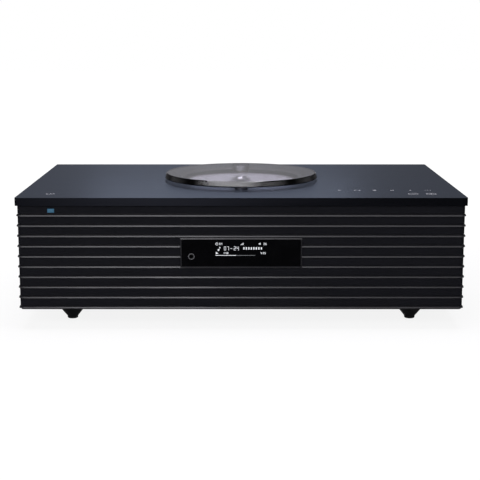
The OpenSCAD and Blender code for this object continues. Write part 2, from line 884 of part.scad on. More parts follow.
// Stud that the front of the lid rests on
module lid_rest() {
    color(silver)
        translate([0, rest_y, 0]) {
            disc(rest_r, plate_z1, lid_z0 - seat_gap);
            disc(rest_pin_r, plate_z1 - rest_pin, plate_z1 + 0.5);
        }
}

// Drive deck: sled opening, rod blocks, gear pin
module drive_deck() {
    color(steel)
        difference() {
            union() {
                block(-deck_hw, deck_hw, deck_y0, deck_hw, deck_z0, deck_z1);
                for (s = [-1, 1], y = [rod_y0, rod_y1 - rod_block])
                    translate([s * rod_x, y, 0])
                        block(-rod_block_hw, rod_block_hw, 0, rod_block, deck_z1 - 0.5, rod_z + rod_block_hw);
                translate([gear_x, gear_y, 0])
                    disc(gear_pin_r, deck_z0, gear_z1 + 0.6);
            }
            block(-sled_hw - sled_gap, sled_hw + sled_gap, sled_y0 - sled_travel - sled_gap, sled_y1 + sled_gap,
                deck_z0 - 1, deck_z1 + 1);
            for (s = [-1, 1])
                bar_y(s * rod_x, rod_z, rod_r, rod_y0 - 1, rod_y1 + 1);
            for (sx = [-1, 1], sy = [-1, 1])
                translate([sx * damper_xy, sy * damper_xy, 0])
                    disc(damper_neck_r, deck_z0 - 1, deck_z1 + 1);
            translate([pinion_x, pinion_y, 0])
                disc(pinion_shaft_r + 1, deck_z0 - 1, deck_z1 + 1);
        }
}

// Rubber grommets that hold the deck under the well
module drive_dampers() {
    color(rubber)
        for (sx = [-1, 1], sy = [-1, 1])
            translate([sx * damper_xy, sy * damper_xy, 0])
                difference() {
                    union() {
                        disc(damper_r, deck_z1, deck_z1 + damper_ring_h);
                        disc(damper_neck_r, deck_z0 - 0.5, deck_z1 + 0.5);
                        disc(damper_r, deck_z0 - damper_ring_h, deck_z0);
                    }
                    disc(damper_screw_r, deck_z0 - 10, deck_z1 + 10);
                }
}

module damper_screws() {
    color(steel)
        for (sx = [-1, 1], sy = [-1, 1])
            translate([sx * damper_xy, sy * damper_xy, 0]) {
                disc(damper_screw_r, deck_z0 - damper_ring_h - 0.5, plate_z0 - 1);
                disc(4, deck_z0 - damper_ring_h - 2, deck_z0 - damper_ring_h);
            }
}

// Flat motor on the deck, bored for the spindle
module spindle_motor() {
    color(steel)
        difference() {
            union() {
                disc(motor_r, deck_z1, motor_z1 - 1.5);
                disc(motor_r - 1.5, deck_z1, motor_z1);
            }
            disc(shaft_r + run_gap, deck_z1 - 1, motor_z1 + 1);
        }
}

// Turntable with its shaft and the disc's centring boss
module spindle_hub() {
    top = disc_seat_z - mat_t;
    color(silver)
        rotate_extrude()
            polygon([[0, deck_z1 + 0.6], [shaft_r, deck_z1 + 0.6], [shaft_r, motor_z1 + 0.3],
                [5, motor_z1 + 0.3], [5, turntable_z0], [turntable_r, turntable_z0],
                [turntable_r, top], [boss_r, top], [boss_r, top + 1.6], [boss_r - 1.4, top + 3],
                [3.2, top + 3], [2.6, top + 2.4], [0, top + 2.4]]);
}

module hub_mat() {
    color(rubber)
        difference() {
            disc(turntable_r - 0.3, disc_seat_z - mat_t, disc_seat_z);
            disc(boss_r + 0.6, disc_seat_z - 2, disc_seat_z + 1);
        }
}

module guide_rods() {
    color(silver)
        for (s = [-1, 1])
            bar_y(s * rod_x, rod_z, rod_r, rod_y0, rod_y1);
}

// Sled: optical block, two rod arms and the rack
module pickup_sled() {
    half = rack_p / 4 - lash / 2;
    tip = half - rack_m * tan(20);
    root = half + 1.25 * rack_m * tan(20);
    root_x = rack_x - 1.25 * rack_m;
    back_x = rod_x + rod_block_hw + 0.4;
    color(black)
        difference() {
            union() {
                block(-sled_hw, sled_hw, sled_y0, sled_y1, sled_z0, sled_z1);
                block(-arm_x, arm_x, sled_y0 + 1, sled_y1 - 1, arm_z0, rod_z + 2.2);
                translate([0, 0, arm_z0 + 0.2])
                    linear_extrude(gear_z1 - 0.3 - arm_z0 - 0.2)
                        polygon(concat(
                            [[back_x, gear_y - 2 * rack_p], [root_x, gear_y - 2 * rack_p]],
                            [for (j = [-2:rack_teeth - 3]) let (y = gear_y + (j + 0.5) * rack_p)
                                for (p = [[root_x, y - root], [rack_x + rack_m, y - tip],
                                    [rack_x + rack_m, y + tip], [root_x, y + root]]) p],
                            [[root_x, gear_y + (rack_teeth - 2) * rack_p],
                                [back_x, gear_y + (rack_teeth - 2) * rack_p]]));
            }
            for (s = [-1, 1])
                bar_y(s * rod_x, rod_z, rod_r + 0.03, sled_y0 - 1, sled_y1 + 1);
            translate([0, lens_y, 0])
                disc(lens_r + 0.6, sled_z1 - 2.4, sled_z1 + 1);
        }
}

// Lens holder that floats in the sled's pocket
module pickup_lens() {
    color([0.3, 0.25, 0.45])
        translate([0, lens_y, 0]) {
            disc(lens_r, sled_z1 - 1.8, sled_z1 - 0.2);
            disc(lens_top_r, sled_z1 - 1, well_floor_z - 0.5);
        }
}

module sled_motor() {
    color(steel)
        translate([pinion_x, pinion_y, 0])
            difference() {
                union() {
                    disc(sled_motor_r, deck_z0 - sled_motor_h, deck_z0);
                    disc(0.4 * sled_motor_r, deck_z0 - sled_motor_h - 1, deck_z0 - sled_motor_h + 1);
                }
                disc(pinion_shaft_r + run_gap, deck_z0 - sled_motor_h + 2, deck_z0 + 1);
            }
}

// Motor pinion with its shaft
module sled_pinion() {
    color([0.85, 0.8, 0.65])
        translate([pinion_x, pinion_y, 0]) {
            translate([0, 0, wheel_z0 - 0.1])
                rotate([0, 0, pinion_a + 180 + 180 / pinion_teeth])
                    linear_extrude(wheel_z1 - wheel_z0 + 0.2)
                        gear_outline(wheel_m, pinion_teeth);
            disc(pinion_shaft_r, deck_z0 - sled_motor_h + 4, wheel_z1 + 0.8);
        }
}

// Large wheel with the small gear that drives the rack
module sled_gear() {
    color([0.9, 0.88, 0.8])
        translate([gear_x, gear_y, 0])
            difference() {
                union() {
                    translate([0, 0, wheel_z0])
                        linear_extrude(wheel_z1 - wheel_z0)
                            gear_outline(wheel_m, wheel_teeth);
                    translate([0, 0, wheel_z1 - 0.3])
                        rotate([0, 0, 180])
                            linear_extrude(gear_z1 - wheel_z1 + 0.3)
                                gear_outline(rack_m, gear_teeth);
                }
                disc(gear_pin_r + run_gap, wheel_z0 - 1, gear_z1 + 1);
            }
}

// Speaker box behind the baffle, open to the front
module speaker_box() {
    difference() {
        block(box_x0, box_x1, inner_y, inner_y + box_d, base_z1, box_z1);
        block(box_x0 + box_wall, box_x1 - box_wall, inner_y - 1, inner_y + box_d - box_wall,
            base_z1 + box_wall, box_z1 - box_wall);
    }
}

module speaker_box_left() {
    color(black)
        mirror([1, 0, 0])
            speaker_box();
}

module speaker_box_right() {
    color(black)
        speaker_box();
}

// Driver basket with its magnet; Z points out of the front and Z = 0 is the mounting face
module driver_frame(ro, roll, seat, coil, mag, cone_d) {
    rc = roll_centre(ro, roll);
    ledge = rc + roll - 0.6;
    ft = seat + 1.5;
    zp = -(seat + cone_d + 6);
    zb = -driver_depth(seat, cone_d);
    rotate_extrude()
        polygon([[ledge, -ft], [ro, -ft], [ro, 0], [rc + roll + 0.4, 0], [rc + roll + 0.4, -seat],
            [ledge, -seat]]);
    difference() {
        rotate_extrude()
            polygon([[ro - 5, -ft + 0.5], [ro - 2.5, -ft + 0.5], [mag - 1.6, zp - 1], [mag - 4.2, zp - 1]]);
        for (k = [0:5])
            rotate([0, 0, 60 * k])
                block(mag * 0.6, ro, -0.27 * ro, 0.27 * ro, zp + 1.5, -ft - 2);
    }
    rotate_extrude()
        polygon([[0, zb], [mag - 1.5, zb], [mag - 1.5, zb + 4], [mag, zb + 4], [mag, zp - 4],
            [mag - 1.5, zp - 4], [mag - 1.5, zp], [coil + 0.9, zp], [coil + 0.9, zp - 4], [coil + 4, zp - 4],
            [coil + 4, zb + 4],
            [coil - 1.2, zb + 4], [coil - 1.2, zp], [0, zp]]);
}

// Cone, voice coil former and dust cap
module driver_cone(ro, roll, seat, coil, cone_d) {
    rim = roll_centre(ro, roll) - roll + 0.6;
    slope = cone_d / (rim - 2 - coil);
    cap = coil + 4;
    base = -seat - cone_d + 4 * slope - 0.7;
    big = (cap * cap + 16) / 8;
    rotate_extrude()
        polygon([[rim, -seat], [rim, -seat - 0.8], [rim - 2, -seat - 0.8], [coil + 0.3, -seat - cone_d - 0.8],
            [coil + 0.3, -seat - cone_d - former_h], [coil - 0.4, -seat - cone_d - former_h],
            [coil - 0.4, -seat - cone_d], [coil + 0.3, -seat - cone_d], [rim - 2, -seat]]);
    intersection() {
        translate([0, 0, base + 4 - big])
            sphere(big);
        disc(cap, base, base + 5);
    }
}

// Half-roll rubber ring from the cone's rim to the basket
module driver_surround(ro, roll, seat) {
    rotate_extrude()
        translate([roll_centre(ro, roll), -seat])
            difference() {
                circle(roll);
                circle(roll - 0.6);
                translate([-roll - 1, -roll - 1])
                    square([2 * roll + 2, roll + 1]);
            }
}

module at_woofer(s) {
    translate([s * woofer_x, inner_y, speaker_z])
        rotate([90, 0, 0])
            children();
}

module at_tweeter(s) {
    translate([s * tweeter_x, inner_y, speaker_z])
        rotate([90, 0, 0])
            children();
}

module at_sub() {
    translate([0, sub_y, base_z1])
        rotate([180, 0, 0])
            children();
}

module woofer_left_frame() {
    color(metal_dark)
        at_woofer(-1)
            driver_frame(woofer_r, woofer_roll, woofer_seat, woofer_coil, woofer_magnet, woofer_cone);
}

module woofer_left_cone() {
    color(fin_black)
        at_woofer(-1)
            driver_cone(woofer_r, woofer_roll, woofer_seat, woofer_coil, woofer_cone);
}

module woofer_left_surround() {
    color(rubber)
        at_woofer(-1)
            driver_surround(woofer_r, woofer_roll, woofer_seat);
}

module woofer_right_frame() {
    color(metal_dark)
        at_woofer(1)
            driver_frame(woofer_r, woofer_roll, woofer_seat, woofer_coil, woofer_magnet, woofer_cone);
}

module woofer_right_cone() {
    color(fin_black)
        at_woofer(1)
            driver_cone(woofer_r, woofer_roll, woofer_seat, woofer_coil, woofer_cone);
}

module woofer_right_surround() {
    color(rubber)
        at_woofer(1)
            driver_surround(woofer_r, woofer_roll, woofer_seat);
}

// Dome tweeter: plate, dome in a recess, magnet
module tweeter() {
    difference() {
        union() {
            disc(tweeter_r, -tweeter_t, 0);
            disc(tweeter_magnet_r, -tweeter_magnet, -tweeter_t + 1);
        }
        disc(dome_r + 2, -dome_recess, 1);
    }
    intersection() {
        translate([0, 0, dome_rise - dome_ball_r])
            sphere(dome_ball_r);
        disc(dome_r, -dome_recess - 0.3, dome_rise + 1);
    }
}

module tweeter_left() {
    color(metal_dark)
        at_tweeter(-1)
            tweeter();
}

module tweeter_right() {
    color(metal_dark)
        at_tweeter(1)
            tweeter();
}

// Waveguides in front of the tweeters: a ring, three vanes and a plug
module acoustic_lenses() {
    color(fin_black)
        for (s = [-1, 1])
            at_tweeter(s) {
                difference() {
                    disc(lens_ring_r, 0, baffle_t - 0.4);
                    disc(lens_ring_r - 1.6, -1, baffle_t + 1);
                }
                for (k = [-1:1])
                    translate([0, k * vane_pitch, 0])
                        block(1 - vane_hw(k), vane_hw(k) - 1, -0.5, 0.5, 2.8, baffle_t - 0.8);
                rotate_extrude()
                    polygon([[0, 2.8], [1.5, 2.8], [5, baffle_t - 0.8], [0, baffle_t - 0.8]]);
            }
}

module sub_frame() {
    color(metal_dark)
        at_sub()
            driver_frame(sub_r, sub_roll, sub_seat, sub_coil, sub_magnet, sub_cone_d);
}

module sub_cone() {
    color(fin_black)
        at_sub()
            driver_cone(sub_r, sub_roll, sub_seat, sub_coil, sub_cone_d);
}

module sub_surround() {
    color(rubber)
        at_sub()
            driver_surround(sub_r, sub_roll, sub_seat);
}

// Chamber over the subwoofer, open to the base
module sub_chamber() {
    color(black)
        difference() {
            block(-sub_hw, sub_hw, sub_y - sub_hw, sub_y + sub_hw, base_z1, sub_top);
            block(-sub_hw + box_wall, sub_hw - box_wall, sub_y - sub_hw + box_wall, sub_y + sub_hw - box_wall,
                base_z1 - 1, sub_top - box_wall);
            bar_y(0, port_z, port_r, sub_y, sub_y + sub_hw + 1);
        }
}

// Bass port from the chamber to the rear panel
module port_tube() {
    y0 = sub_y + sub_hw - box_wall;
    color(black)
        difference() {
            union() {
                bar_y(0, port_z, port_r, y0, rear_y1 + 0.5);
                bar_y(0, port_z, port_r + 4, rear_y1, rear_y1 + 1.5);
            }
            bar_y(0, port_z, port_r - port_wall, y0 - 1, rear_y1 + 3);
        }
}

// Main board with its processors and radio module
module main_board() {
    chip = 0.118 * board_w;
    color(board_green)
        translate([-board_x1, board_y0, board_z1]) {
            block(0, board_w, 0, board_d, -board_t, 0);
            for (k = [0:3])
                translate([(0.126 + 0.19 * k) * board_w, (0.214 + 0.076 * (k % 2)) * board_d, -solder])
                    cube([chip, chip, 0.1 * chip]);
            block(0.11 * board_w, 0.41 * board_w, 0.44 * board_d, 0.605 * board_d, -solder, 0.23 * chip);
            for (k = [0:4])
                translate([(0.52 + 0.071 * k) * board_w, 0.504 * board_d, 0])
                    disc(0.21 * chip, -solder, 0.6 * chip);
        }
}

// Power board with its transformer, coils and capacitors
module power_board() {
    color(board_green)
        translate([board_x0, board_y0, board_z1]) {
            block(0, board_w, 0, board_d, -board_t, 0);
            block(0.08 * board_w, 0.41 * board_w, 0.252 * board_d, 0.492 * board_d,
                -solder, 0.36 * board_room);
            block(0.047 * board_w, 0.442 * board_w, 0.29 * board_d, 0.454 * board_d,
                -solder, 0.275 * board_room);
            for (k = [0:2])
                translate([(0.158 + 0.19 * k) * board_w, 0.113 * board_d, 0])
                    disc(0.071 * board_w, -solder, 0.318 * board_room);
            for (k = [0:1])
                translate([(0.158 + 0.205 * k) * board_w, 0.63 * board_d, 0])
                    disc(0.063 * board_w, -solder, 0.148 * board_room);
        }
}

// Finned aluminium heat sink on the power board
module heat_sink() {
    pitch = (sink_w - sink_fin_t) / (sink_fins - 1);
    color(steel)
        translate([sink_x, board_y0 + 0.252 * board_d, board_z1]) {
            cube([sink_w, 0.378 * board_d, 2 * sink_fin_t]);
            for (k = [0:sink_fins - 1])
                translate([k * pitch, 0, sink_fin_t])
                    cube([sink_fin_t, 0.378 * board_d, 0.36 * board_room]);
        }
}

// Network socket, open to the back
module lan_socket() {
    y1 = rear_y1 + socket_out;
    color(steel)
        difference() {
            block(lan_x - lan_hw, lan_x + lan_hw, y1 - lan_d, y1, board_z1, board_z1 + lan_h);
            block(lan_x - lan_hw + 2.3, lan_x + lan_hw - 2.3, y1 - lan_d + 8, y1 + 1,
                board_z1 + 0.25 * lan_h, board_z1 + lan_h - 2.5);
            block(lan_x - 0.36 * lan_hw, lan_x + 0.36 * lan_hw, y1 - lan_d + 8, y1 + 1,
                board_z1 + 1.6, board_z1 + 0.3 * lan_h);
        }
}

// USB socket, open to the back, with its tongue
module usb_socket() {
    y1 = rear_y1 + socket_out;
    color(steel) {
        difference() {
            block(usb_x - usb_hw, usb_x + usb_hw, y1 - usb_d, y1, board_z1, board_z1 + usb_h);
            block(usb_x - usb_hw + 1, usb_x + usb_hw - 1, y1 - usb_d + 5, y1 + 1,
                board_z1 + 1.1, board_z1 + usb_h - 1.1);
        }
        block(usb_x - usb_hw + 1.8, usb_x + usb_hw - 1.8, y1 - usb_d + 4, y1 - 1,
            board_z1 + 0.59 * usb_h, board_z1 + 0.79 * usb_h);
    }
}

// Line-in socket
module aux_socket() {
    y1 = rear_y1 + socket_out;
    color(black)
        difference() {
            union() {
                block(aux_x - aux_hw, aux_x + aux_hw, rear_y0 - aux_d, rear_y0,
                    board_z1, aux_z + 0.82 * aux_hw);
                bar_y(aux_x, aux_z, aux_r, rear_y0 - 1, y1);
            }
            bar_y(aux_x, aux_z, jack_bore_r, rear_y0 - aux_d + 2, y1 + 1);
        }
}

// Antenna socket: a barrel out of the panel with a block on the board
module antenna_socket() {
    color(steel)
        difference() {
            union() {
                block(antenna_x - antenna_hw, antenna_x + antenna_hw, rear_y0 - aux_d, rear_y0,
                    board_z1, antenna_z + 0.92 * antenna_hw);
                bar_y(antenna_x, antenna_z, antenna_r, rear_y0 - 1, rear_y1 + antenna_out);
            }
            bar_y(antenna_x, antenna_z, antenna_r - 1.1, rear_y1 - 5, rear_y1 + antenna_out + 1);
            bar_y(antenna_x, antenna_z, 0.15 * antenna_r, rear_y1 - 10, rear_y1 + antenna_out + 1);
        }
}

// Mains inlet with two pins
module ac_inlet() {
    x0 = inlet_x - inlet_w / 2;
    x1 = inlet_x + inlet_w / 2;
    z0 = board_z1;
    z1 = board_z1 + inlet_h;
    zc = (z0 + z1) / 2;
    color(black) {
        difference() {
            union() {
                block(x0, x1, rear_y0 - inlet_d, rear_y1 + 0.5, z0, z1);
                block(x0 - 3, x1 + 3, rear_y1, rear_y1 + 1.5, z0 - 2, z1 + 2);
            }
            for (s = [-1, 1])
                bar_y(inlet_x + s * inlet_pin_x, zc, inlet_pin_x + 0.1, rear_y0 - 0.6 * inlet_d, rear_y1 + 3);
            block(inlet_x - inlet_pin_x, inlet_x + inlet_pin_x, rear_y0 - 0.6 * inlet_d, rear_y1 + 3,
                zc - inlet_pin_x - 0.1, zc + 0.74 * inlet_pin_x);
        }
        for (s = [-1, 1])
            bar_y(inlet_x + s * inlet_pin_x, zc, 0.28 * inlet_pin_x, rear_y0 - 0.65 * inlet_d, rear_y1 - 2);
    }
}

top_plate();
grille_fins();
grille_net();
cabinet_shell();
base_plate();
rear_panel();
feet();
foot_pads();
case_screws();
display_bezel();
display_window();
display_module();
display_board();
headphone_jack();
status_lamp();
touch_board();
disc_well();
lid_disc();
lid_post();
lid_cap();
lid_clip();
lid_bush();
lid_rest();
drive_deck();
drive_dampers();
damper_screws();
spindle_motor();
spindle_hub();
hub_mat();
guide_rods();
pickup_sled();
pickup_lens();
sled_motor();
sled_pinion();
sled_gear();
speaker_box_left();
speaker_box_right();
woofer_left_frame();
woofer_left_cone();
woofer_left_surround();
woofer_right_frame();
woofer_right_cone();
woofer_right_surround();
tweeter_left();
tweeter_right();
acoustic_lenses();
sub_frame();
sub_cone();
sub_surround();
sub_chamber();
port_tube();
main_board();
power_board();
heat_sink();
lan_socket();
usb_socket();
aux_socket();
antenna_socket();
ac_inlet();
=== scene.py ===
"""Looks of an all-in-one stereo system: camera, studio, materials, marks, small parts and rubber rolls."""

import json
import math

import bmesh
import bpy
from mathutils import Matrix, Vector

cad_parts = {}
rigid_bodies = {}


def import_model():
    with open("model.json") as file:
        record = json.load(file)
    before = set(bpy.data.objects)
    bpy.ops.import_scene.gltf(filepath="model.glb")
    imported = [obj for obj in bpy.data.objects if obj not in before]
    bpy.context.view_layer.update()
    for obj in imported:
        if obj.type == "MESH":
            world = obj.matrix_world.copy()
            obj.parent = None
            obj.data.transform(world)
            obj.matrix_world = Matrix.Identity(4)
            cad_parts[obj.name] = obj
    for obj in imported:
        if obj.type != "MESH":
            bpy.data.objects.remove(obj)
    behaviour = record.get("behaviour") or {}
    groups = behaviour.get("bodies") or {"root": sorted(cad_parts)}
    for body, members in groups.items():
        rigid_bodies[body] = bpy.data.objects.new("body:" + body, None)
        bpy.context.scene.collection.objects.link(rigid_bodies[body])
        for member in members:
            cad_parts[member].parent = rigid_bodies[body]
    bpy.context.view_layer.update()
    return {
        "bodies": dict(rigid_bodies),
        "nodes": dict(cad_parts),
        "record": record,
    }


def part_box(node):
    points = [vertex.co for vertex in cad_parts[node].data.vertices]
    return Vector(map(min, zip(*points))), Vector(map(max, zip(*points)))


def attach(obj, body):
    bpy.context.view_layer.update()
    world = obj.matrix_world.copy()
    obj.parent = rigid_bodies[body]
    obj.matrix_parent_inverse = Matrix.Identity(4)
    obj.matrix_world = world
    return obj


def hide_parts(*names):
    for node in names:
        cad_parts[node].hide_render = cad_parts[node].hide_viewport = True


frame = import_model()
MM = 0.001

# Places on the object, from its solids
plate_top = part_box("top_plate")[1][2]
glass_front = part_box("display_window")[0][1]
hub_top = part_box("spindle_hub")[1][2]
lens_low, lens_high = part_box("pickup_lens")
lan_low, lan_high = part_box("lan_socket")
jack_low, jack_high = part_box("headphone_jack")
WELL_CENTRE = (0.0, 0.0)
POST_CENTRE = (0.0, 0.073)
STUD_CENTRE = (0.0, -0.073)

# Sizes that materials and marks use
SILVER_RADIUS = 58.2 * MM
PLUG_RADIUS = 2.5 * MM
NET_PITCH = 1.2 * MM
MARK_THICK = 0.04 * MM
PATCHES = 26.0
STREAKS = 14.0

# The photograph is square; the camera looks down on the front from a little above
CAMERA_PLACE = (-0.0012, -1.2913, 0.3057)
CAMERA_PITCH = 79.49
CAMERA_LENS = 88.1
SENSOR_WIDTH = 36.0

# Studio light
COOL = (0.96, 0.95, 1.0, 1)
WHITE = (1, 1, 1, 1)
BAND = 6.5
ROOM = 0.04
FLOOR_HALF = 6.0
FLOOR_WHITE = 1.06
LAMPS = (
    # Name, place, the point that it faces, width and height, power, and whether it shows through acrylic
    ("front", (-0.15, -1.0, 0.3), (-0.12, -0.16, 0.07), (0.22, 0.1), 1.47, False),
    ("top", (0.15, 0.3, 1.6), (0.03, 0.1, 0.13), (1.2, 0.7), 7, False),
    ("strip", (-0.12, -0.16, 1.6), (-0.1, -0.1, 0.13), (1.4, 0.4), 11, True),
    ("rear", (-0.03, 0.62, 0.47), (-0.03, -0.14, 0.13), (0.44, 0.12), 0.36, False),
)


# Shader nodes

def wire(tree, value, socket):
    """Links a node's output to a socket, or sets a plain value on it."""
    if isinstance(value, bpy.types.NodeSocket):
        tree.links.new(value, socket)
    else:
        socket.default_value = value


def feed(tree, made, **inputs):
    """Wires values to a node's inputs by their names, with _ for a space."""
    for name, value in inputs.items():
        wire(tree, value, made.inputs[name.replace("_", " ")])


def node(tree, kind, **inputs):
    made = tree.nodes.new("ShaderNode" + kind)
    feed(tree, made, **inputs)
    return made


def maths(tree, operation, a, b=0.0):
    made = tree.nodes.new("ShaderNodeMath")
    made.operation = operation
    wire(tree, a, made.inputs[0])
    wire(tree, b, made.inputs[1])
    return made.outputs[0]


def product(tree, *factors):
    out = factors[0]
    for factor in factors[1:]:
        out = maths(tree, "MULTIPLY", out, factor)
    return out


def mixture(tree, first, second, share):
    """A share of the first value, and the second one for the rest."""
    return maths(tree, "ADD", maths(tree, "MULTIPLY", first, share), maths(tree, "MULTIPLY", second, 1 - share))


def place(tree, scale=(1, 1, 1)):
    """Coordinates on the object, stretched by a scale for each axis."""
    coords = tree.nodes.new("ShaderNodeTexCoord")
    mapping = tree.nodes.new("ShaderNodeMapping")
    mapping.inputs["Scale"].default_value = scale
    tree.links.new(coords.outputs["Object"], mapping.inputs["Vector"])
    return mapping.outputs[0]


def axes(tree):
    """The three coordinates on the object, each as a value."""
    return node(tree, "SeparateXYZ", Vector=place(tree)).outputs


def off_axis(tree, sides, centre):
    """Squared distance of a point from a centre, from its coordinates across the axis."""
    away = [maths(tree, "SUBTRACT", side, middle) for side, middle in zip(sides, centre)]
    return maths(tree, "ADD", *(maths(tree, "MULTIPLY", side, side) for side in away))


def upwards(tree):
    """How far a face looks up: 1 for a level one, 0 for an upright one."""
    normal = tree.nodes.new("ShaderNodeNewGeometry").outputs["True Normal"]
    return node(tree, "SeparateXYZ", Vector=normal).outputs[2]


def grain(tree, scale, detail=2.0, stretch=(1, 1, 1), roughness=0.5):
    """Noise on the object, drawn out along the axes where stretch is small."""
    made = node(tree, "TexNoise", Vector=place(tree, stretch), Scale=scale, Detail=detail, Roughness=roughness)
    return made.outputs[0]


def spread(tree, value, low, high, start=0.3, end=0.7):
    """Goes evenly from low to high while the value goes from start to end."""
    made = node(tree, "MapRange", From_Min=start, From_Max=end, To_Min=low, To_Max=high)
    tree.links.new(value, made.inputs["Value"])
    return made.outputs[0]


def tone(tree, value, dark, light, start=0.3, end=0.7):
    """A colour between dark and light, by a value on the surface."""
    made = tree.nodes.new("ShaderNodeValToRGB")
    for stop, position, colour in zip(made.color_ramp.elements, (start, end), (dark, light)):
        stop.position, stop.color = position, (*colour, 1)
    tree.links.new(value, made.inputs[0])
    return made.outputs[0]


def bump(tree, height, distance):
    made = node(tree, "Bump", Strength=1.0, Distance=distance)
    tree.links.new(height, made.inputs["Height"])
    return made.outputs[0]


def mix_shaders(tree, factor, first, second):
    """The second shader where the factor is 1."""
    made = tree.nodes.new("ShaderNodeMixShader")
    for value, socket in zip((factor, first, second), made.inputs):
        tree.links.new(value, socket)
    return made.outputs[0]


def shade(colour, factor):
    return tuple(min(1.0, part * factor) for part in colour)


def uneven(tree, value, colour, vary):
    """A colour that varies by a share of itself."""
    return tone(tree, value, shade(colour, 1 - vary), shade(colour, 1 + vary))


def surface(name, **constants):
    """A new material, its node tree and its main shader with plain values set on it."""
    made = bpy.data.materials.new(name)
    made.use_nodes = True
    tree = made.node_tree
    main = tree.nodes["Principled BSDF"]
    feed(tree, main, **constants)
    return made, tree, main


# Materials

def moulded(name, colour, roughness, fine=900.0, depth=0.02 * MM, vary=0.12, **constants):
    """Moulded or painted surface: a fine grain, a little uneven in colour and gloss."""
    made, tree, main = surface(name, **constants)
    texture = grain(tree, fine, 3.0)
    wide = grain(tree, PATCHES, 4.0)
    feed(tree, main, Base_Color=uneven(tree, wide, colour, vary),
         Roughness=spread(tree, wide, roughness * 0.9, min(1.0, roughness * 1.1)),
         Normal=bump(tree, texture, depth))
    return made


def brushed(name, colour, roughness, stretch, fine, depth=0.01 * MM, vary=0.1, **constants):
    """Metal with hairlines along one axis."""
    made, tree, main = surface(name, Metallic=1.0, **constants)
    lines = grain(tree, fine, 4.0, stretch, 0.65)
    wide = grain(tree, STREAKS, 3.0, stretch)
    mixed = mixture(tree, lines, wide, 0.6)
    feed(tree, main, Base_Color=uneven(tree, mixed, colour, vary),
         Roughness=spread(tree, mixed, roughness * 0.9, roughness * 1.12),
         Normal=bump(tree, lines, depth))
    return made


def turned(name, colour, roughness, centre, rings=5200.0, depth=0.008 * MM, vary=0.1, **constants):
    """Metal turned on a lathe: fine rings round a vertical axis."""
    made, tree, main = surface(name, **{"Metallic": 1.0, **constants})
    x, y, z = axes(tree)
    where = node(tree, "CombineXYZ", X=maths(tree, "SQRT", off_axis(tree, (x, y), centre)), Z=z).outputs[0]
    lines, broad = (node(tree, "TexNoise", Vector=where, Scale=scale, Detail=2.0).outputs[0]
                    for scale in (rings, rings / 18))
    mixed = mixture(tree, lines, broad, 0.5)
    feed(tree, main, Base_Color=uneven(tree, mixed, colour, vary),
         Roughness=spread(tree, mixed, roughness * 0.85, roughness * 1.15),
         Normal=bump(tree, lines, depth))
    return made


def recolour(tree, factor, colour):
    """Another colour where the factor is 1."""
    main = tree.nodes["Principled BSDF"]
    mix = tree.nodes.new("ShaderNodeMix")
    mix.data_type = "RGBA"
    wire(tree, factor, mix.inputs["Factor"])
    tree.links.new(main.inputs["Base Color"].links[0].from_socket, mix.inputs["A"])
    mix.inputs["B"].default_value = (*colour, 1)
    tree.links.new(mix.outputs["Result"], main.inputs["Base Color"])


def streaked(tree, axis, turn=0.0):
    """Stretches highlights across lines that run round an axis."""
    main = tree.nodes["Principled BSDF"]
    tangent = tree.nodes.new("ShaderNodeTangent")
    tangent.direction_type = "RADIAL"
    tangent.axis = axis
    feed(tree, main, Anisotropic_Rotation=turn, Tangent=tangent.outputs[0])


def well_silver():
    """Silver floor of the disc well; the ring outside it and the wall are darker."""
    made = turned("well_silver", (0.78, 0.76, 0.86), 0.36, WELL_CENTRE, vary=0.05, Metallic=0.1)
    tree = made.node_tree
    x, y, _ = axes(tree)
    outside = maths(tree, "GREATER_THAN", off_axis(tree, (x, y), WELL_CENTRE), SILVER_RADIUS ** 2)
    recolour(tree, outside, (0.12, 0.12, 0.13))
    return made


def post_metal():
    """Bright turned post of the lid."""
    made = turned("post_metal", (0.5, 0.5, 0.53), 0.42, POST_CENTRE, Anisotropic=0.9)
    streaked(made.node_tree, "Z", 0.25)
    return made


def plate_metal():
    """Dark anodised top plate with hairlines from left to right."""
    made = brushed("plate_metal", (0.088, 0.097, 0.125), 0.3, (0.006, 1, 1), 1500.0, 0.008 * MM, 0.16,
                   Specular_Tint=(0.65, 0.71, 0.8, 1), Anisotropic=0.4)
    tree = made.node_tree
    # The bevel round the well is polished bare. The upright edges get a darker copy of the face's colour, which
    # is painted shade.
    for limit, colour in ((0.95, (0.36, 0.36, 0.39)), (0.5, (0.021, 0.0225, 0.029))):
        recolour(tree, maths(tree, "LESS_THAN", upwards(tree), limit), colour)
    streaked(tree, "X")
    return made


def net_black():
    """Fine dark net: threads and openings at a pitch of a little over a millimetre, round the corners too."""
    made, tree, main = surface("net_black", Roughness=0.55, Specular_IOR_Level=0.12)
    turn = 2 * math.pi / NET_PITCH
    x, y, z = axes(tree)
    across, up = (maths(tree, "SINE", maths(tree, "MULTIPLY", run, turn))
                  for run in (maths(tree, "ADD", x, y), z))
    weave = maths(tree, "ADD", product(tree, across, up, 0.5), 0.5)
    worn = mixture(tree, weave, grain(tree, 40.0, 3.0), 0.8)
    feed(tree, main, Base_Color=tone(tree, worn, (0.0016, 0.0018, 0.0028), (0.007, 0.0074, 0.011), 0.2, 0.8),
         Normal=bump(tree, weave, 0.25 * MM))
    return made


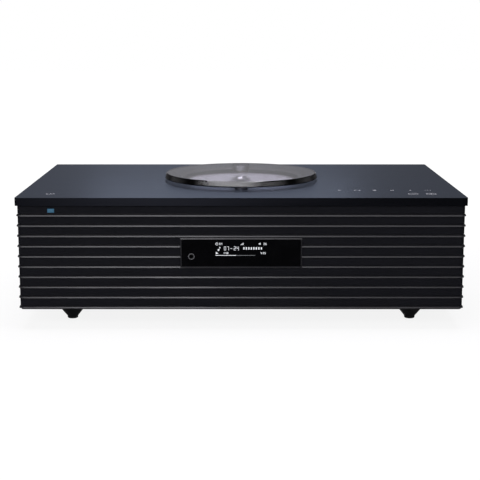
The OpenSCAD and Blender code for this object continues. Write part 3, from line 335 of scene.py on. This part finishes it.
def clear_acrylic():
    """Clear acrylic with a trace of tint and hardly visible wipe marks."""
    made, tree, main = surface("clear_acrylic", Transmission_Weight=1.0, IOR=1.49)
    wide = grain(tree, 60.0, 4.0, (1, 0.3, 1))
    feed(tree, main, Base_Color=tone(tree, wide, (0.95, 0.94, 0.965), (0.98, 0.975, 0.99)),
         Roughness=spread(tree, wide, 0.012, 0.03))
    depth = node(tree, "VolumeAbsorption", Color=(0.3, 0.3, 0.34, 1), Density=12.0)
    # Lamps shine through the acrylic on to what lies under it, but its edges bend their light away
    flat = maths(tree, "GREATER_THAN", maths(tree, "ABSOLUTE", upwards(tree)), 0.97)
    clear = node(tree, "BsdfTransparent", Color=tone(tree, flat, (0.2, 0.2, 0.21), (0.94, 0.94, 0.95)))
    shadow = tree.nodes.new("ShaderNodeLightPath").outputs["Is Shadow Ray"]
    feed(tree, tree.nodes["Material Output"], Volume=depth.outputs[0],
         Surface=mix_shaders(tree, shadow, main.outputs[0], clear.outputs[0]))
    return made


def glass_black():
    """Gloss black window with faint finger marks."""
    made, tree, main = surface("window_black", Specular_IOR_Level=0.12)
    marks = grain(tree, 90.0, 5.0)
    feed(tree, main, Base_Color=tone(tree, marks, (0.0012, 0.0012, 0.0015), (0.002, 0.002, 0.0024)),
         Roughness=spread(tree, marks, 0.07, 0.14))
    return made


def jack_ring():
    """Mouth of the headphone socket: a thin bright ring round a black face."""
    made = moulded("jack_ring", (0.11, 0.11, 0.115), 0.35, 1200.0, 0.005 * MM)
    tree = made.node_tree
    x, _, z = axes(tree)
    centre = [(jack_low[k] + jack_high[k]) / 2 for k in (0, 2)]
    inside = maths(tree, "LESS_THAN", off_axis(tree, (x, z), centre), PLUG_RADIUS ** 2)
    recolour(tree, inside, (0.004, 0.004, 0.005))
    return made


def circuit_green():
    """Solder mask with darker tracks under it."""
    made, tree, main = surface("board_green", Roughness=0.38)
    tracks = node(tree, "TexBrick", Vector=place(tree), Scale=160.0).outputs["Fac"]
    mixed = mixture(tree, tracks, grain(tree, 70.0, 3.0), 0.6)
    feed(tree, main, Base_Color=tone(tree, mixed, (0.006, 0.045, 0.02), (0.012, 0.085, 0.038)),
         Normal=bump(tree, tracks, 0.03 * MM))
    return made


def paper_cone():
    """Pressed fibre cone."""
    made, tree, main = surface("cone_black", Roughness=0.82, Specular_IOR_Level=0.2)
    fibres = grain(tree, 420.0, 6.0, (1, 1, 0.4), 0.7)
    feed(tree, main, Base_Color=tone(tree, fibres, (0.008, 0.008, 0.009), (0.024, 0.024, 0.026)),
         Normal=bump(tree, fibres, 0.08 * MM))
    return made


def glow(name, colour, strength):
    """A lit mark with a very fine unevenness."""
    made, tree, main = surface(name, Roughness=0.4, Emission_Strength=strength)
    dots = grain(tree, 2600.0, 1.0)
    feed(tree, main, Emission_Color=tone(tree, dots, shade(colour, 0.85), colour),
         Base_Color=tone(tree, dots, shade(colour, 0.5), shade(colour, 0.6)))
    return made


# One material for each slot of the record
MATERIALS = {
    "plate_metal": plate_metal(),
    "fin_black": moulded("fin_black", (0.01, 0.01, 0.012), 0.34, 1400.0, 0.01 * MM, Specular_IOR_Level=0.44),
    "net_black": net_black(),
    "case_black": moulded("case_black", (0.011, 0.011, 0.012), 0.6, 700.0, 0.04 * MM, Specular_IOR_Level=0.35),
    "base_black": moulded("base_black", (0.013, 0.013, 0.014), 0.55, 500.0, 0.05 * MM, Specular_IOR_Level=0.35),
    "window_black": glass_black(),
    "panel_dark": moulded("panel_dark", (0.014, 0.014, 0.016), 0.5),
    "board_green": circuit_green(),
    "steel": brushed("steel", (0.5, 0.5, 0.51), 0.34, (1, 1, 0.1), 900.0),
    "silver": turned("silver", (0.46, 0.45, 0.5), 0.3, WELL_CENTRE),
    "clear_acrylic": clear_acrylic(),
    "cap_dark": turned("cap_dark", (0.07, 0.072, 0.085), 0.35, POST_CENTRE),
    "rubber": moulded("rubber", (0.014, 0.014, 0.014), 0.78, 600.0, 0.05 * MM, Specular_IOR_Level=0.25),
    "bronze": brushed("bronze", (0.62, 0.43, 0.2), 0.36, (1, 1, 0.2), 900.0),
    "cone_black": paper_cone(),
    "lamp_blue": glow("lamp_blue", (0.025, 0.1, 0.17), 0.6),
    "gear_white": moulded("gear_white", (0.72, 0.7, 0.62), 0.45, 1200.0),
    "lens_violet": moulded("lens_violet", (0.05, 0.035, 0.12), 0.15, 1500.0, 0.002 * MM, Coat_Weight=0.6),
    "basket_grey": moulded("basket_grey", (0.05, 0.05, 0.054), 0.5, 800.0, 0.03 * MM, Specular_IOR_Level=0.4),
}
# Nodes that look different from the rest of their slot
OWN_MATERIALS = {
    "lid_post": post_metal(),
    # The rest stud is polished metal with a dark colour, which is painted shade of the gap under the lid's
    # front edge.
    "lid_rest": turned("stud_painted_shade", (0.1, 0.1, 0.11), 0.3, STUD_CENTRE),
    "disc_well": well_silver(),
    "feet": moulded("foot_black", (0.011, 0.011, 0.013), 0.5, Specular_IOR_Level=0.12),
    "spindle_hub": turned("hub_silver", (0.74, 0.73, 0.78), 0.22, WELL_CENTRE, vary=0.05),
    "hub_mat": moulded("mat_grey", (0.16, 0.16, 0.17), 0.6),
    "headphone_jack": jack_ring(),
}
# Materials of the marks and contacts
DISPLAY_WHITE = glow("display_white", (0.8, 0.82, 0.84), 0.5)
DISPLAY_DIM = glow("display_dim", (0.22, 0.23, 0.24), 0.5)
PRINT_GREY = moulded("print_grey", (0.52, 0.52, 0.55), 0.5, 2000.0, 0.002 * MM)
GOLD = brushed("contact_gold", (0.75, 0.55, 0.22), 0.3, (1, 0.1, 1), 1500.0)


def dress_nodes():
    """Gives every CAD node its own material, or the one of its slot in the record."""
    for part in frame["record"]["subparts"]:
        mesh = frame["nodes"][part["node"]].data
        mesh.materials.clear()
        mesh.materials.append(OWN_MATERIALS.get(part["node"], MATERIALS[part["material_slot"]]))


# Small pieces, built as meshes

def piece(name, shape, material, body="cabinet", smooth=False):
    """Makes an object of a bmesh, with its material, on a body of the frame."""
    mesh = bpy.data.meshes.new(name)
    bmesh.ops.recalc_face_normals(shape, faces=shape.faces)
    shape.to_mesh(mesh)
    shape.free()
    for face in mesh.polygons:
        face.use_smooth = smooth
    made = bpy.data.objects.new(name, mesh)
    bpy.context.scene.collection.objects.link(made)
    made.data.materials.append(material)
    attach(made, body)
    return made


def circle(steps):
    """Angles all round, in equal steps."""
    return [2 * math.pi * k / steps for k in range(steps)]


def prism(shape, outline, lift):
    """A flat outline of 3-D points, thickened along lift."""
    low = [shape.verts.new(point) for point in outline]
    high = [shape.verts.new(Vector(point) + Vector(lift)) for point in outline]
    shape.faces.new(low)
    shape.faces.new(high)
    for i in range(len(low)):
        j = (i + 1) % len(low)
        shape.faces.new((low[i], low[j], high[j], high[i]))


def lathe(shape, profile, centre, steps=32):
    """Turns a profile of (radius, height) points round a vertical axis."""
    rings = []
    for r, z in profile:
        if r < 1e-9:
            rings.append([shape.verts.new((*centre, z))])
        else:
            rings.append([shape.verts.new((centre[0] + r * math.cos(a), centre[1] + r * math.sin(a), z))
                          for a in circle(steps)])
    for low, high in zip(rings, rings[1:]):
        for k in range(steps):
            loop = [ring[i % len(ring)] for ring, i in ((low, k), (low, k + 1), (high, k + 1), (high, k))]
            corners = [v for i, v in enumerate(loop) if v not in loop[:i]]
            if len(corners) > 2:
                shape.faces.new(corners)


class Drawing:
    """Flat marks on a plane: u and v in millimetres from an origin, thickened a little along its normal."""

    def __init__(self, origin, u_axis, v_axis, normal):
        self.origin, self.u, self.v = Vector(origin), Vector(u_axis), Vector(v_axis)
        self.lift = Vector(normal) * MARK_THICK
        self.shape = bmesh.new()

    def at(self, u, v):
        return self.origin + self.u * u * MM + self.v * v * MM

    def outline(self, points):
        prism(self.shape, [self.at(u, v) for u, v in points], self.lift)

    def bar(self, u0, v0, u1, v1):
        self.outline([(u0, v0), (u1, v0), (u1, v1), (u0, v1)])

    def round(self, u, v, r):
        self.outline([(u + r * math.cos(a), v + r * math.sin(a)) for a in circle(24)])

    def arc(self, u, v, r, width, start=0.0, end=360.0, steps=28):
        """A ring, or part of one, as a chain of short bars."""
        for k in range(steps):
            a, b = (math.radians(start + (end - start) * t / steps) for t in (k, k + 1))
            self.outline([(u + q * math.cos(t), v + q * math.sin(t))
                          for q, t in ((r, a), (r, b), (r - width, b), (r - width, a))])

    def digit(self, number, u, v, high, stroke):
        """One seven-part figure with its lower left corner at u, v."""
        wide = 0.52 * high
        mid = (high - stroke) / 2
        parts = {
            "a": (0, high - stroke, wide, high),
            "b": (wide - stroke, high / 2, wide, high),
            "c": (wide - stroke, 0, wide, high / 2),
            "d": (0, 0, wide, stroke),
            "e": (0, 0, stroke, high / 2),
            "f": (0, high / 2, stroke, high),
            "g": (0, mid, wide, mid + stroke),
        }
        lit = ("abcdef", "bc", "abged", "abgcd", "fgbc", "afgcd", "afgedc", "abc", "abcdefg", "abfgcd")
        for key in lit[number]:
            u0, v0, u1, v1 = parts[key]
            self.bar(u + u0, v + v0, u + u1, v + v1)

    def figures(self, numbers, u, v, step, high, stroke):
        """A row of figures, a step apart."""
        for k, number in enumerate(numbers):
            self.digit(number, u + step * k, v, high, stroke)

    def time(self, minutes, seconds, u, v, high, stroke):
        """Minutes, a colon and two figures of seconds."""
        step, gap = 0.76 * high, 0.36 * high
        self.digit(minutes, u, v, high, stroke)
        for part in (0.25, 0.65):
            self.bar(u + step, v + part * high, u + step + stroke, v + part * high + stroke)
        self.figures(divmod(seconds, 10), u + step + gap, v, step, high, stroke)

    def finish(self, name, material):
        return piece(name, self.shape, material)


def front_drawing():
    """Marks on the face of the display window; v is the height above the table."""
    return Drawing((0, glass_front - MARK_THICK, 0), (1, 0, 0), (0, 0, 1), (0, 1, 0))


def plate_drawing():
    """Marks on the top plate; u and v are X and Y."""
    return Drawing((0, 0, plate_top + MARK_THICK), (1, 0, 0), (0, 1, 0), (0, 0, -1))


def display_marks():
    """Generic player symbols in three rows, with a progress line below them."""
    lit = front_drawing()
    upper, middle, lower, line = 86.9, 81.7, 77.4, 76.0
    # Height and stroke of the figures
    small, level, large = (2.1, 0.36), (2.2, 0.38), (3.9, 0.44)
    small_step, large_step = 1.7, 2.9

    # Disc with its number, signal bars, loudspeaker with its level
    disc = (-24.4, upper + 1.0)
    lit.arc(*disc, 1.5, 0.4)
    lit.round(*disc, 0.45)
    lit.figures((0, 4), -21.8, upper, small_step, *small)
    for k in range(4):
        lit.bar(-0.6 + 0.8 * k, upper, -0.1 + 0.8 * k, upper + 0.6 + 0.5 * k)
    speaker = [(17.4, 0.6), (18.2, 0.6), (19.3, -0.2), (19.3, 2.4), (18.2, 1.5), (17.4, 1.5)]
    lit.outline([(u, upper + v) for u, v in speaker])
    lit.figures((2, 6), 22.4, upper - 0.1, small_step, *level)

    # Note, track numbers, and blocks in place of a title
    lit.round(-22.7, middle + 0.1, 0.95)
    lit.bar(-22.0, middle + 0.1, -21.7, middle + 3.4)
    flag = [(-22.0, 3.4), (-20.6, 2.6), (-20.6, 1.7), (-22.0, 2.5)]
    lit.outline([(u, middle + v) for u, v in flag])
    lit.figures((0, 7), -17.2, middle - 0.3, large_step, *large)
    lit.bar(-10.9, middle + 1.4, -8.9, middle + 1.84)
    lit.figures((2, 4), -7.4, middle - 0.3, large_step, *large)
    for k in range(8):
        lit.bar(2.0 + 2.5 * k, middle + 0.5, 3.3 + 2.5 * k, middle + 2.9)

    # Play mark, time gone and time in all, progress line
    lit.outline([(-25.4, lower - 0.2), (-22.8, lower + 1.1), (-25.4, lower + 2.4)])
    lit.time(1, 48, -18.0, lower + 0.1, *small)
    lit.time(4, 5, 19.4, lower + 0.1, *small)
    lit.bar(-25.8, line, -5.0, line + 0.55)
    lit.finish("display_marks", DISPLAY_WHITE)
    dim = front_drawing()
    dim.bar(-4.6, line + 0.1, 14.0, line + 0.45)
    dim.finish("display_progress_rest", DISPLAY_DIM)


def touch_marks():
    """Marks of the touch keys at the front right of the plate, and the power mark at the left."""
    marks = plate_drawing()
    row, front = -86.5, -112.0
    play, skip, stop, pause, source, more = 100.4, 120.0, 136.4, 154.6, 175.0, 193.0
    minus, plus, power = 174.4, 192.7, -193.5
    half, line = 1.9, 0.7

    marks.outline([(play, row - half), (play + 3.4, row), (play, row + half)])
    for side in (-1, 1):
        far = skip + side * 3.2
        marks.outline([(skip + side * 0.2, row), (far, row + half), (far, row - half)])
    marks.bar(stop, row - 1.7, stop + 3.4, row + 1.7)
    for u in (pause, pause + 2.0):
        marks.bar(u, row - half, u + 1.1, row + half)
    marks.round(source, row, 1.2)
    for k in (-1, 0, 1):
        marks.round(more + 2.6 * k, row, 0.7)

    arm, thick = 2.6, 0.45
    for u in (minus, plus):
        marks.arc(u, front, 5.2, line)
        marks.bar(u - arm, front - thick, u + arm, front + thick)
    for v in (front - arm, front + thick):
        marks.bar(plus - thick, v, plus + thick, v + arm - thick)
    marks.arc(power, front, 4.4, line, 120, 420)
    marks.bar(power - thick, front + 1.4, power + thick, front + 5.0)
    marks.finish("touch_marks", PRINT_GREY)


def lens_glass():
    """Small domed lens on top of the pickup's holder."""
    top = lens_high[2]
    centre = ((lens_low[0] + lens_high[0]) / 2, (lens_low[1] + lens_high[1]) / 2)
    radius, rise, sunk = 1.9 * MM, 0.35 * MM, 0.1 * MM
    shape = bmesh.new()
    profile = [(0, top - sunk), (radius, top - sunk)]
    profile += [(radius * math.cos(t), top + rise * math.sin(t)) for t in (math.pi * k / 16 for k in range(8))]
    profile += [(0, top + rise)]
    lathe(shape, profile, centre)
    piece("pickup_lens_glass", shape, MATERIALS["lens_violet"], body="lens", smooth=True)


def hub_catches():
    """Three sprung catches round the centring boss that hold the disc."""
    boss_r, half = 7.4 * MM, 1.4 * MM
    # Side of a catch: millimetres out from the boss and up from the hub's top
    steps = [(-0.6, -1.9), (0.18, -1.5), (0.3, -1.1), (0.18, -0.75), (-0.6, -0.4)]
    shape = bmesh.new()
    for k in range(3):
        a = math.radians(90 + 120 * k)
        out, side = Vector((math.cos(a), math.sin(a), 0)), Vector((-math.sin(a), math.cos(a), 0))
        rows = [[shape.verts.new(out * (boss_r + q * MM) + side * (s * half) + Vector((0, 0, hub_top + z * MM)))
                 for q, z in steps] for s in (-1, 1)]
        for i in range(len(steps) - 1):
            shape.faces.new((rows[0][i], rows[0][i + 1], rows[1][i + 1], rows[1][i]))
        for row in rows:
            shape.faces.new(row)
        shape.faces.new((rows[0][0], rows[0][-1], rows[1][-1], rows[1][0]))
    piece("hub_catches", shape, MATERIALS["steel"], body="spindle")


def socket_contacts():
    """Eight gilt springs inside the network socket."""
    mid = (lan_low[0] + lan_high[0]) / 2
    back, roof = lan_high[1], lan_high[2] - 2.5 * MM
    count, pitch, wide = 8, 1.02 * MM, 0.4 * MM
    # Side of a spring: millimetres in from the back and up from the roof
    run = [(12.5, 0.0), (5.0, -0.1), (2.0, -2.2), (2.0, -2.5), (5.0, -0.4), (12.5, -0.3)]
    shape = bmesh.new()
    for k in range(count):
        x = mid + (k - (count - 1) / 2) * pitch - wide / 2
        prism(shape, [(x, back - d * MM, roof + h * MM) for d, h in run], (wide, 0, 0))
    piece("network_contacts", shape, GOLD)


def rubber_rolls():
    """Half rolls of rubber in place of the rigid surrounds: the outer edge of each stays on the basket, and the
    inner edge goes with the cone."""
    wall, foot, steps = 0.6 * MM, 0.7 * MM, 20
    arc = [math.pi * k / steps for k in range(steps + 1)]
    # What the names of a driver's nodes begin with, and the body of its cone
    drivers = {"woofer_left": "woofer_left", "woofer_right": "woofer_right", "sub": "subwoofer"}
    for driver, body in drivers.items():
        cone = frame["bodies"][body]
        low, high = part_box(driver + "_surround")
        middle, size = (low + high) / 2, high - low
        stroke = min(range(3), key=lambda k: size[k])
        flat = [k for k in range(3) if k != stroke]
        outer, roll = size[flat[0]] / 2, size[stroke]
        profile = [(outer - roll + r * math.cos(a), -r * math.sin(a))
                   for r, way in ((roll, arc), (roll - wall, arc[::-1])) for a in way]
        shape = bmesh.new()
        lathe(shape, profile + profile[:1], (0.0, 0.0), 96)
        bmesh.ops.remove_doubles(shape, verts=shape.verts, dist=0.001 * MM)
        for vertex in shape.verts:
            u, v, depth = vertex.co
            vertex.co[flat[0]], vertex.co[flat[1]] = middle[flat[0]] + u, middle[flat[1]] + v
            vertex.co[stroke] = high[stroke] + depth
        shape.normal_update()
        ring = piece(driver + "_roll", shape, MATERIALS["rubber"], smooth=True)
        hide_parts(driver + "_surround")
        # The feet on the cone and on the basket stay rigid
        group = ring.vertex_groups.new(name="inner_edge")
        for vertex in ring.data.vertices:
            radius = math.hypot(*(vertex.co[k] - middle[k] for k in flat))
            share = (outer - foot - radius) / (2 * roll - 2 * foot)
            group.add([vertex.index], min(1.0, max(0.0, share)), "REPLACE")
        flex = ring.modifiers.new("flex", "HOOK")
        flex.object, flex.vertex_group, flex.falloff_type = cone, group.name, "NONE"
        flex.matrix_inverse = cone.matrix_world.inverted() @ ring.matrix_world


# Studio

def room():
    """White to the camera. Metal and glass show a pale backdrop behind the object that fades upwards, between
    dark cards at its sides, a soft band of light in front of it and a faint glow low at its sides."""
    world = bpy.data.worlds.new("studio")
    bpy.context.scene.world = world
    world.use_nodes = True
    tree = world.node_tree
    tree.nodes.clear()
    coords = tree.nodes.new("ShaderNodeTexCoord")
    x, y, z = node(tree, "SeparateXYZ", Vector=coords.outputs["Generated"]).outputs
    aside = maths(tree, "ABSOLUTE", x)
    rays = tree.nodes.new("ShaderNodeLightPath").outputs
    # Behind, fading upwards, less at the right and a little at the left, with the cards
    backdrop = product(tree, spread(tree, y, 0.0, 1.0, 0.3, 0.8), spread(tree, z, 0.6, 0.2, 0.0, 0.1),
                       spread(tree, x, 1.1, 0.72, -0.02, 0.16), spread(tree, x, 0.82, 1.0, -0.18, -0.04),
                       spread(tree, aside, 1.0, 0.12, 0.2, 0.36))
    # Between two heights in front, less at the far left and at the right, and not seen through acrylic
    band = product(tree, spread(tree, z, 0.0, BAND, 0.34, 0.42), spread(tree, z, 1.0, 0.0, 0.5, 0.62),
                   spread(tree, x, 0.15, 1.0, -1.0, -0.55), spread(tree, x, 1.0, 0.22, 0.1, 0.5),
                   spread(tree, y, 1.0, 0.0, -0.3, -0.05),
                   maths(tree, "SUBTRACT", 1.0, rays["Is Transmission Ray"]))
    sides = product(tree, spread(tree, aside, 0.0, 0.5, 0.7, 0.95), spread(tree, z, 1.0, 0.0, 0.15, 0.3))
    level = maths(tree, "ADD", maths(tree, "ADD", backdrop, band), maths(tree, "ADD", sides, ROOM))
    shown = node(tree, "Background", Color=WHITE, Strength=1.0)
    mirrored = node(tree, "Background", Color=COOL, Strength=level)
    mixed = mix_shaders(tree, rays["Is Camera Ray"], mirrored.outputs[0], shown.outputs[0])
    node(tree, "OutputWorld", Surface=mixed)


def floor():
    """White to the camera, with the object's soft shadow; darker in front and at the sides for reflections."""
    mesh = bpy.data.meshes.new("floor")
    corners = ((-1, -1), (1, -1), (1, 1), (-1, 1))
    mesh.from_pydata([(u * FLOOR_HALF, v * FLOOR_HALF, 0) for u, v in corners], [], [(0, 1, 2, 3)])
    made = bpy.data.objects.new("floor", mesh)
    bpy.context.scene.collection.objects.link(made)
    material, tree, main = surface("floor_white", Roughness=0.9, Specular_IOR_Level=0.0)
    feed(tree, main, Base_Color=tone(tree, grain(tree, 3.0), (0.8, 0.8, 0.8), (0.82, 0.82, 0.82)))
    rays = tree.nodes.new("ShaderNodeLightPath").outputs
    shown = rays["Is Camera Ray"]
    mirrored = maths(tree, "MAXIMUM", rays["Is Glossy Ray"], rays["Is Transmission Ray"])
    x, y, _ = axes(tree)
    fade = product(tree, spread(tree, y, 0.04, 0.9, -0.12, 0.1),
                   spread(tree, maths(tree, "ABSOLUTE", x), 1.0, 0.12, 0.25, 0.5))
    strength = maths(tree, "ADD", product(tree, shown, FLOOR_WHITE), product(tree, mirrored, fade))
    shine = node(tree, "Emission", Color=WHITE, Strength=strength)
    # Near the object, some of the plain floor shows, and with it the shadow
    distance = node(tree, "VectorMath", Vector=place(tree))
    distance.operation = "LENGTH"
    far = spread(tree, distance.outputs["Value"], 0.82, 1.0, 0.35, 0.8)
    shining = maths(tree, "MAXIMUM", product(tree, shown, far), mirrored)
    feed(tree, tree.nodes["Material Output"],
         Surface=mix_shaders(tree, shining, main.outputs[0], shine.outputs[0]))
    made.data.materials.append(material)


def lamps():
    """Soft boxes that the camera doesn't see."""
    for name, where, aim, size, power, through in LAMPS:
        light = bpy.data.lights.new(name, "AREA")
        light.shape = "RECTANGLE"
        light.size, light.size_y = size
        light.energy, light.color = power, COOL[:3]
        made = bpy.data.objects.new(name, light)
        made.location = where
        made.rotation_euler = (Vector(aim) - Vector(where)).to_track_quat("-Z", "Y").to_euler()
        made.visible_camera, made.visible_transmission = False, through
        bpy.context.scene.collection.objects.link(made)


def camera():
    lens = bpy.data.cameras.new("camera")
    lens.lens = CAMERA_LENS
    lens.sensor_width = SENSOR_WIDTH
    made = bpy.data.objects.new("camera", lens)
    made.location = CAMERA_PLACE
    made.rotation_euler = (math.radians(CAMERA_PITCH), 0, 0)
    bpy.context.scene.collection.objects.link(made)
    bpy.context.scene.camera = made


bpy.context.scene.view_settings.view_transform = "Standard"
camera()
room()
floor()
lamps()
dress_nodes()
display_marks()
touch_marks()
lens_glass()
hub_catches()
socket_contacts()
rubber_rolls()
